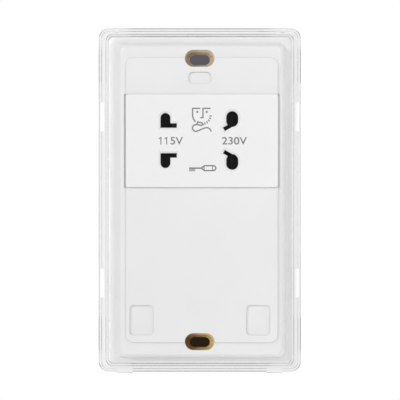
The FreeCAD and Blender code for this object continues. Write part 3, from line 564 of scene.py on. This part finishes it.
def printed_rating(name, word, left, width):
    """Voltage figures in plain sans letters, fitted to a left end, a width and the common letter height."""
    letters = bpy.data.curves.new(name, "FONT")
    letters.body = word
    letters.extrude = INK_THICKNESS
    letters.offset = WORD_BOLD
    holder = bpy.data.objects.new(name, letters)
    bpy.context.collection.objects.link(holder)
    mesh = bpy.data.meshes.new_from_object(holder.evaluated_get(bpy.context.evaluated_depsgraph_get()))
    bpy.data.objects.remove(holder)
    corners = [vertex.co.copy() for vertex in mesh.vertices]
    low = Vector((min(corner.x for corner in corners), min(corner.y for corner in corners)))
    high = Vector((max(corner.x for corner in corners), max(corner.y for corner in corners)))
    for vertex, corner in zip(mesh.vertices, corners):
        x = left + (corner.x - low.x) / (high.x - low.x) * width
        z = WORD_FOOT + (corner.y - low.y) / (high.y - low.y) * WORD_HEIGHT
        vertex.co = on_face((x, z), INK_THICKNESS if corner.z > 0 else 0.0)
    return place_print(name, mesh)


def figure_ones():
    """The two ones of the lower voltage: an upright with a short flag to its left."""
    marks = bmesh.new()
    top = WORD_FOOT + WORD_HEIGHT
    for x in ONE_BARS:
        flag = (x - ONE_FLAG_REACH, top - ONE_FLAG_DROP)
        stroke(marks, [flag, (x, top - ONE_LINE / 2), (x, WORD_FOOT)], ONE_LINE)
    return print_marks("rating_115_ones", marks)


# Studio

def card_material(name):
    """New material with nothing in it yet."""
    material = bpy.data.materials.new(name)
    material.use_nodes = True
    material.node_tree.nodes.clear()
    return material, material.node_tree


def one_sided(tree, front):
    """Shader of a sheet that is seen from its front and is clear from behind."""
    clear = add(tree, "ShaderNodeBsdfTransparent")
    side = add(tree, "ShaderNodeNewGeometry")
    mixed = add(tree, "ShaderNodeMixShader",
                {0: side.outputs["Backfacing"], 1: front, 2: clear.outputs["BSDF"]})
    return mixed.outputs["Shader"]


def light_card(tree, colour, strength):
    """Ends a card's material: it shows its own colour, whatever the light on it."""
    glow = add(tree, "ShaderNodeEmission", {"Color": colour, "Strength": strength})
    add(tree, "ShaderNodeOutputMaterial", {"Surface": one_sided(tree, glow.outputs["Emission"])})


def shade_card(name, code):
    """Dark card, in the even shade that a fixing slot shows."""
    material, tree = card_material(name)
    light_card(tree, srgb(code), 1.0)
    return material


def fade(tree, along, limits, side=1):
    """One inside the first limit and nothing beyond the second, measured in millimetres to one side."""
    fall = add(tree, "ShaderNodeMapRange",
               {"Value": along, "From Min": side * limits[0] * MM, "From Max": side * limits[1] * MM,
                "To Min": 1.0, "To Max": 0.0}, interpolation_type="SMOOTHSTEP")
    return fall.outputs["Result"]


def overlap(tree, *levels):
    """Level where zones overlap, which is the least of theirs."""
    least = levels[0]
    for level in levels[1:]:
        least = add(tree, "ShaderNodeMath", {0: least, 1: level}, operation="MINIMUM").outputs[0]
    return least


def white_card():
    """White card behind the object, in shade where the plate stands before it and dim far outside."""
    material, tree = card_material("white_card")
    place = add(tree, "ShaderNodeTexCoord").outputs["Object"]
    spot = add(tree, "ShaderNodeSeparateXYZ", {"Vector": place})
    across = spot.outputs["X"]
    up = spot.outputs["Z"]
    shade = overlap(tree, fade(tree, across, SHADE_RIGHT), fade(tree, across, SHADE_LEFT, -1),
                    fade(tree, up, SHADE_HEAD), fade(tree, up, SHADE_FOOT, -1))
    colour = add(tree, "ShaderNodeMix", {0: shade, 6: srgb("#FFFFFF"), 7: srgb("#E0E0E0")},
                 data_type="RGBA")
    width = add(tree, "ShaderNodeMath", {0: across}, operation="ABSOLUTE").outputs[0]
    height = add(tree, "ShaderNodeMath", {0: up}, operation="ABSOLUTE").outputs[0]
    deep = overlap(tree, fade(tree, width, DEEP_SIDES), fade(tree, height, DEEP_ENDS))
    levels = [add(tree, "ShaderNodeMix", {0: deep, 2: 1.0, 3: DEEP_LEVEL}).outputs[0]]
    patch = add(tree, "ShaderNodeTexNoise", {"Vector": place, "Scale": per_mm(DIM_PATCH), "Detail": 1.0})
    for along, limits, dim in ((width, CARD_SIDES, DIM_SIDES), (height, CARD_ENDS, DIM_ENDS)):
        uneven = add(tree, "ShaderNodeMapRange",
                     {"Value": patch.outputs["Fac"], "From Min": PATCH_RANGE[0], "From Max": PATCH_RANGE[1],
                      "To Min": dim[0], "To Max": dim[1]})
        outer = add(tree, "ShaderNodeMix",
                    {0: fade(tree, along, limits), 2: uneven.outputs["Result"], 3: 1.0})
        levels.append(outer.outputs[0])
    # Only rays that clear plastic has bent see the dark and dim zones
    path = add(tree, "ShaderNodeLightPath")
    strength = add(tree, "ShaderNodeMix",
                   {0: path.outputs["Is Transmission Ray"], 2: 1.0, 3: overlap(tree, *levels)})
    light_card(tree, colour.outputs[2], strength.outputs[0])
    return material


def looked_at(tree):
    """One for a ray that sees the room, straight, in gloss or through plastic; nothing for light."""
    path = add(tree, "ShaderNodeLightPath")
    sight = path.outputs["Is Camera Ray"]
    for kind in ("Is Glossy Ray", "Is Transmission Ray"):
        sight = add(tree, "ShaderNodeMath", {0: sight, 1: path.outputs[kind]}, operation="MAXIMUM").outputs[0]
    # Light that has bounced off a matt surface isn't sight, even where it has passed through plastic
    direct = add(tree, "ShaderNodeMath", {0: path.outputs["Diffuse Depth"], 1: 1.0}, operation="LESS_THAN")
    return overlap(tree, sight, direct.outputs[0])


def pale_floor():
    """Pale matt floor, lifted towards white where it is seen, that still shows the object's shadow."""
    material, tree, shader = surface("pale_floor", Roughness=0.9, Base_Color=srgb("#F2F2F2"))
    lift = add(tree, "ShaderNodeMath", {0: looked_at(tree), 1: FLOOR_LIFT}, operation="MULTIPLY")
    glow = add(tree, "ShaderNodeEmission", {"Color": srgb("#FFFFFF"), "Strength": 1.0})
    mixed = add(tree, "ShaderNodeMixShader",
                {0: lift.outputs[0], 1: shader.outputs["BSDF"], 2: glow.outputs["Emission"]})
    output = tree.nodes["Material Output"]
    tree.links.new(one_sided(tree, mixed.outputs["Shader"]), output.inputs["Surface"])
    return material


def stage_sheet(name, corners, material):
    """One flat four-sided sheet of the studio."""
    mesh = bpy.data.meshes.new(name)
    mesh.from_pydata(corners, [], [(0, 1, 2, 3)])
    mesh.materials.append(material)
    sheet = bpy.data.objects.new(name, mesh)
    bpy.context.collection.objects.link(sheet)
    return sheet


def card_sheet(name, back, left, right, foot, head, material):
    """Upright card facing the front, which takes no light and throws no shadow."""
    corners = [(left, back, foot), (right, back, foot), (right, back, head), (left, back, head)]
    sheet = stage_sheet(name, corners, material)
    sheet.visible_diffuse = False
    sheet.visible_shadow = False


def studio():
    """Floor under the object, a white card close behind it and a dark card of painted shade behind each
    fixing slot.
    """
    low, high = cad_box
    half = STAGE_SIZE / 2 * MM
    ground = low.z - FLOOR_DROP * MM
    corners = [(-half, -half, ground), (half, -half, ground), (half, half, ground), (-half, half, ground)]
    floor = stage_sheet("floor", corners, pale_floor())
    floor.visible_shadow = False
    card_sheet("card", high.y + CARD_GAP * MM, -half, half, ground, ground + 2 * half, white_card())
    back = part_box("clear_frame")[1].y + SLOT_CARD_GAP * MM
    reach = SLOT_CARD_WIDTH / 2 * MM
    rise = SLOT_CARD_HEIGHT / 2 * MM
    # Painted shade: the dark seen through each fixing slot
    grey = shade_card("grey_card", "#5C5A60")
    brown = shade_card("brown_card", "#291F18")
    for name, slot, card in (("slot_card_upper", UPPER_SLOT, grey), ("slot_card_lower", LOWER_SLOT, brown)):
        card_sheet(name, back, -reach, reach, slot * MM - rise, slot * MM + rise, card)


def lamp(name, place, power, size):
    """Square soft lamp aimed at the object: place and size in metres, power in watts."""
    light = bpy.data.lights.new(name, "AREA")
    light.energy = power
    light.size = size
    holder = bpy.data.objects.new(name, light)
    holder.location = place
    holder.rotation_mode = "QUATERNION"
    holder.rotation_quaternion = (-Vector(place)).to_track_quat("-Z", "Y")
    bpy.context.collection.objects.link(holder)


def lights():
    """Small far key on the left for crisp edges, soft light on the other sides, and a lamp behind."""
    lamp("key_lamp", place=(-1.28, -1.08, 0.75), power=10.0, size=0.12)
    lamp("front_lamp", place=(0.40, -1.00, 0.20), power=0.7, size=0.4)
    lamp("fill_lamp", place=(0.22, -0.40, 0.35), power=0.42, size=0.3)
    lamp("side_lamp", place=(1.00, -0.25, 0.15), power=1.3, size=0.4)
    lamp("bounce_lamp", place=(0.0, -0.15, -1.10), power=1.8, size=0.4)
    lamp("back_lamp", place=(0.45, 0.90, 0.55), power=4.5, size=0.5)


def world():
    """Even room light on the object, and plain white wherever the room itself is seen."""
    room = bpy.data.worlds.new("white_room")
    room.use_nodes = True
    tree = room.node_tree
    tree.nodes.clear()
    level = add(tree, "ShaderNodeMapRange",
                {"Value": looked_at(tree), "To Min": ROOM_LIGHT, "To Max": ROOM_SEEN})
    sky = add(tree, "ShaderNodeBackground", {"Color": srgb("#FFFFFF"), "Strength": level.outputs["Result"]})
    add(tree, "ShaderNodeOutputWorld", {"Surface": sky.outputs["Background"]})
    bpy.context.scene.world = room


def camera():
    """Square on to the face, far back, framed as the photograph is."""
    view = bpy.data.cameras.new("camera")
    view.lens = CAMERA_LENS
    holder = bpy.data.objects.new("camera", view)
    holder.location = (CAMERA_SIDE * MM, -CAMERA_DISTANCE * MM, 0)
    holder.rotation_euler = (math.radians(90), 0, 0)
    bpy.context.collection.objects.link(holder)
    bpy.context.scene.camera = holder


INK = pad_printed_ink()
dress_frame()
shaver_sign()
toothbrush_sign()
figure_ones()
printed_rating("rating_115", "5V", WORD_5V_LEFT, WORD_5V_WIDTH)
printed_rating("rating_230", "230V", WORD_230_LEFT, WORD_230_WIDTH)
studio()
lights()
world()
camera()
bpy.context.scene.view_settings.view_transform = "Standard"
